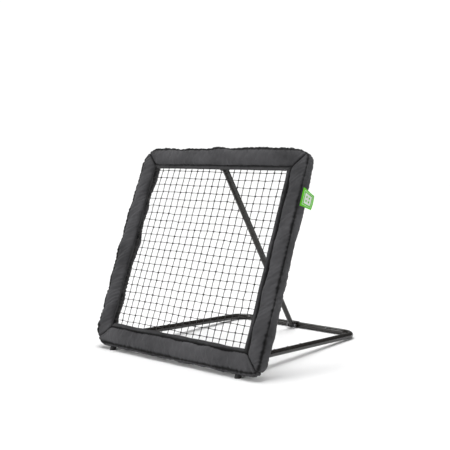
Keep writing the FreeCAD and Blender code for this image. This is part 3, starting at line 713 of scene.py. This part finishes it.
netSet = {
    "columns": 21, "rows": 22, "pitchX": 0.0319, "pitchY": 0.0305,
    "shiftX": -0.009, "shiftY": 0.002,   # the mesh isn't quite centred
    "upright": 0.00145, "level": 0.00115,   # twine radius
    "sides": 6, "steps": 3, "twist": 0.35, "smooth": 60,
    "depth": 0.0062,
    "edge": 0.0045, "leftMore": 0.011,   # twine ends inside the hem
    "wander": 0.0015, "drift": 0.004,    # small and slow unevenness
    "weaveOver": 0.0003,                 # uprights pass in front of the levels
    "knot": 0.0036, "knotShape": Vector((1.05, 0.92, 0.8)), "lump": 0.22, "lumpPitch": 900,
    "knotSpread": 0.18, "knotTurn": 0.5,
    "twineShare": 0.33,   # the twine's own area over the window's
}


def netPoint(column, row):
    s = netSet
    x = (column - (s["columns"] - 1) / 2) * s["pitchX"] + s["shiftX"]
    y = half + (row - (s["rows"] - 1) / 2) * s["pitchY"] + s["shiftY"]
    shake = Vector((rough(column * 1.7, row * 1.3, 4.2),
                    rough(column * 1.3, row * 1.9, 8.8), 0)) * s["wander"] * 2
    drift = Vector((rough(column * 0.13, row * 0.11, 1.1),
                    rough(column * 0.12, row * 0.14, 6.1), 0)) * s["drift"]
    return Vector((x, y, -s["depth"])) + shake + drift


def twineTube(points, radius, sides):
    # a fine tube along the points
    verts, faces = [], []
    for k, point in enumerate(points):
        ahead = points[min(k + 1, len(points) - 1)] - points[max(k - 1, 0)]
        turn = ahead.to_track_quat("Z", "Y")
        for j in range(sides):
            angle = math.tau * j / sides + k * netSet["twist"]
            verts.append(point + turn @ Vector((math.cos(angle), math.sin(angle), 0)) * radius)
    for k in range(len(points) - 1):
        for j in range(sides):
            a, b = k * sides + j, k * sides + (j + 1) % sides
            faces.append((a, b, b + sides, a + sides))
    faces.append(tuple(reversed(range(sides))))
    last = (len(points) - 1) * sides
    faces.append(tuple(range(last, last + sides)))
    return verts, faces


def meshFrom(name, parts):
    verts, faces = [], []
    for someVerts, someFaces in parts:
        start = len(verts)
        verts += someVerts
        faces += [tuple(index + start for index in face) for face in someFaces]
    data = bpy.data.meshes.new(name)
    data.from_pydata([tuple(v) for v in verts], [], faces)
    piece = bpy.data.objects.new(name, data)
    scene.collection.objects.link(piece)
    return piece


def between(points, steps, bulge):
    # finer points, with a slight arch from knot to knot
    fine = [points[0]]
    for a, b in zip(points, points[1:]):
        for step in range(1, steps + 1):
            share = step / steps
            fine.append(a.lerp(b, share) + Vector((0, 0, math.sin(math.pi * share) * bulge)))
    return fine


def makeNet():
    s = netSet
    window = half - padFace["bar"]
    bottom, top = padFace["bar"] - s["edge"], tall - padFace["bar"] + s["edge"]
    parts = []
    for column in range(s["columns"]):
        run = [netPoint(column, row) for row in range(s["rows"])]
        ends = (Vector((run[0].x, bottom, -s["depth"])), Vector((run[-1].x, top, -s["depth"])))
        run = [ends[0]] + run + [ends[1]]
        parts.append(twineTube(between(run, s["steps"], s["weaveOver"]), s["upright"], s["sides"]))
    for row in range(s["rows"]):
        run = [netPoint(column, row) for column in range(s["columns"])]
        ends = (Vector((-window - s["edge"] - s["leftMore"], run[0].y, -s["depth"])),
                Vector((window + s["edge"], run[-1].y, -s["depth"])))
        run = [ends[0]] + run + [ends[1]]
        parts.append(twineTube(between(run, s["steps"], -s["weaveOver"]), s["level"], s["sides"]))
    twine = meshFrom("netTwine", parts)
    knots = makeKnots()
    net = joinPieces([twine, knots], "knottedNet")
    net.data.transform(faceMatrix)
    smoothShade(net, s["smooth"])
    dress(net, blackTwine, "net_twine", "rebound_frame", "net")
    return net


def makeKnots():
    # one lumpy knot, modelled once and copied to every crossing
    s = netSet
    deselectAll()
    bpy.ops.mesh.primitive_uv_sphere_add(segments=8, ring_count=5, radius=s["knot"])
    knot = bpy.context.object
    for vertex in knot.data.vertices:
        turn = 3 * math.atan2(vertex.co.y, vertex.co.x)
        lump = 1 + s["lump"] * math.sin(turn + vertex.co.z * s["lumpPitch"])
        vertex.co = vertex.co * s["knotShape"] * lump
    shape = [v.co.copy() for v in knot.data.vertices]
    faces = [tuple(f.vertices) for f in knot.data.polygons]
    bpy.data.objects.remove(knot)
    parts = []
    for column in range(s["columns"]):
        for row in range(s["rows"]):
            spot = netPoint(column, row)
            size = 1 + s["knotSpread"] * rough(column * 2.1, row * 2.3, 0.7)
            turn = Matrix.Rotation(random.uniform(-s["knotTurn"], s["knotTurn"]), 3, "Z")
            parts.append(([spot + turn @ v * size for v in shape], faces))
    return meshFrom("netKnots", parts)


knottedNet = makeNet()
print("net tied", len(knottedNet.data.polygons))


labelSet = {
    "low": 0.622, "high": 0.691,    # up the face
    "deep": 0.064, "start": 0.003,  # back over the side panel, from just behind the seam
    "thick": 0.0011, "round": 0.0003,
    "slant": 0.011, "lowerSlant": 0.35,
    "root": 0.0045, "stand": 0.0042, "standRise": 7,   # clear of the cover at the seam, and past it
    "curl": 0.006,                  # the free end lifts
    "grid": (22, 24), "over": 0.0003,
    "edge": 0.10, "line": 0.022,    # border line, as shares of the label
    "mark": (0.20, 0.44, 0.68), "markLine": 0.12, "threadThick": 0.0006,
}


def labelPoint(depth, up):
    # depth runs back from the seam, up runs along it; both from 0 to 1
    s = labelSet
    lower = s["low"] + depth * s["slant"] * s["lowerSlant"]
    upper = s["high"] - depth * s["slant"]
    lift = s["stand"] + s["curl"] * depth ** 2 * (0.35 + 0.65 * math.sin(up * 2.4 + 0.3))
    x = half + s["root"] + lift * min(1.0, depth * s["standRise"])
    return Vector((x, lower + (upper - lower) * up, -s["start"] - depth * s["deep"]))


def labelSheet(name, low, high, stand, thick):
    deselectAll()
    columns, rows = labelSet["grid"]
    bpy.ops.mesh.primitive_grid_add(x_subdivisions=columns, y_subdivisions=rows, size=1)
    tag = bpy.context.object
    tag.name = name
    for vertex in tag.data.vertices:
        depth = low[0] + (high[0] - low[0]) * (vertex.co.x + 0.5)
        up = low[1] + (high[1] - low[1]) * (vertex.co.y + 0.5)
        vertex.co = labelPoint(depth, up) + Vector((stand, 0, 0))
    tag.data.update()
    if tag.data.polygons[0].normal.x < 0:
        tag.data.flip_normals()
    applyModifier(tag, "SOLIDIFY", thickness=thick, offset=-1.0)
    return tag


def makeLabel():
    s = labelSet
    tag = labelSheet("sideLabel", (0, 0), (1, 1), s["thick"] + s["over"], s["thick"])
    tag.data.attributes.new("seam", "FLOAT", "POINT")
    applyModifier(tag, "BEVEL", width=s["round"], segments=2, limit_method="ANGLE")
    tag.data.transform(faceMatrix)
    smoothShade(tag, flatAngle)
    dress(tag, greenCloth, "label_fabric", "rebound_frame", "label")
    edge, far, line = s["edge"], 1 - s["edge"], s["line"]
    frames = [((edge, edge), (far, edge + line)), ((edge, far - line), (far, far)),
              ((edge, edge), (edge + line, far)), ((far - line, edge), (far, far))]
    # plain mark: a small patch of net
    first, last, wide = s["mark"][0], s["mark"][-1] + s["markLine"], s["markLine"]
    for step in s["mark"]:
        frames.append(((first, step), (last, step + wide)))
        frames.append(((step, first), (step + wide, last)))
    thread = s["threadThick"]
    lines = [labelSheet("labelLine", low, high, s["thick"] + thread, thread) for low, high in frames]
    mark = joinPieces(lines, "labelMark")
    mark.data.transform(faceMatrix)
    smoothShade(mark, flatAngle)
    dress(mark, whiteThread, "label_fabric", "rebound_frame")


makeLabel()
print("label sewn in")


studioSet = {
    "floor": (0.95, 0.95, 0.95, 1), "floorSize": 30, "floorRough": 0.6, "floorSpread": 1.01,
    "world": 0.16, "seenWorld": 1.05,   # the room lights the object less than it shows
    "suns": (("overheadSoft", (-0.15, 0.15, 1.0), 2.8, 50), ("frontSoft", (-0.45, -0.9, 0.55), 1.4, 26)),
    "strip": ("sideStrip", (2.6, 0.9, 1.3), (0, 0.2, 0.2), (0.5, 1.6), 12),
}


def makeFloor():
    deselectAll()
    bpy.ops.mesh.primitive_plane_add(size=studioSet["floorSize"], location=(0, 0, 0))
    floor = bpy.context.object
    floor.name = "studioFloor"
    material, tree, shader, place = newMaterial("paleFloor")
    blotch = placeGroup(tree, surfaceBlotch, place, Broad=2.0, Fine=200.0)
    pale = studioSet["floor"]
    paler = tuple(min(1.0, value * studioSet["floorSpread"]) for value in pale)
    colour = mixColour(tree, blotch.outputs["Slow"], pale, paler)
    tree.links.new(colour, shader.inputs["Base Color"])
    shader.inputs["Roughness"].default_value = studioSet["floorRough"]
    floor.data.materials.append(material)


def addLamp(name, spot, aim, size, power):
    lamp = bpy.data.lights.new(name, "AREA")
    lamp.shape = "RECTANGLE"
    lamp.size, lamp.size_y = size
    lamp.energy = power
    holder = bpy.data.objects.new(name, lamp)
    scene.collection.objects.link(holder)
    holder.location = spot
    holder.rotation_euler = (Vector(aim) - Vector(spot)).to_track_quat("-Z", "Y").to_euler()


def addSky():
    # a white room
    world = bpy.data.worlds.new("studioWorld")
    world.use_nodes = True
    tree = world.node_tree
    sky = tree.nodes["Background"]
    sky.inputs["Color"].default_value = (1, 1, 1, 1)
    seen = tree.nodes.new("ShaderNodeLightPath").outputs["Is Camera Ray"]
    spread = studioSet["seenWorld"] - studioSet["world"]
    strength = mathNode(tree, "MULTIPLY_ADD", seen, spread, studioSet["world"])
    tree.links.new(strength, sky.inputs["Strength"])
    scene.world = world


def addSun(name, toward, power, softness):
    sun = bpy.data.lights.new(name, "SUN")
    sun.energy = power
    sun.angle = math.radians(softness)
    holder = bpy.data.objects.new(name, sun)
    scene.collection.objects.link(holder)
    holder.rotation_euler = (-Vector(toward)).to_track_quat("-Z", "Y").to_euler()


def makeStudio():
    makeFloor()
    addSky()
    for sun in studioSet["suns"]:
        addSun(*sun)
    addLamp(*studioSet["strip"])
    scene.view_settings.view_transform = "Standard"


cameraSet = {
    "azimuth": 39.69, "elevation": 5.21,   # degrees, from the front towards the right
    "aimX": 0.0256, "aimHeight": 0.5021,
    "aimBehindEdge": 0.300, "edgeToMiddle": 0.42316,   # from the pad's lower front edge
    "distance": 3.241, "lens": 65.54, "sensor": 36.0,
}


def makeCamera():
    s = cameraSet
    azimuth, elevation = math.radians(s["azimuth"]), math.radians(s["elevation"])
    level = math.cos(elevation)
    back = Vector((math.sin(azimuth) * level, -math.cos(azimuth) * level, math.sin(elevation)))
    aim = Vector((s["aimX"], s["aimBehindEdge"] - s["edgeToMiddle"], s["aimHeight"]))
    lens = bpy.data.cameras.new("studioCamera")
    lens.sensor_width = s["sensor"]
    lens.lens = s["lens"]
    camera = bpy.data.objects.new("studioCamera", lens)
    scene.collection.objects.link(camera)
    camera.location = aim + back * s["distance"]
    camera.rotation_euler = (-back).to_track_quat("-Z", "Y").to_euler()
    scene.camera = camera


makeStudio()
makeCamera()
print("studio lit")

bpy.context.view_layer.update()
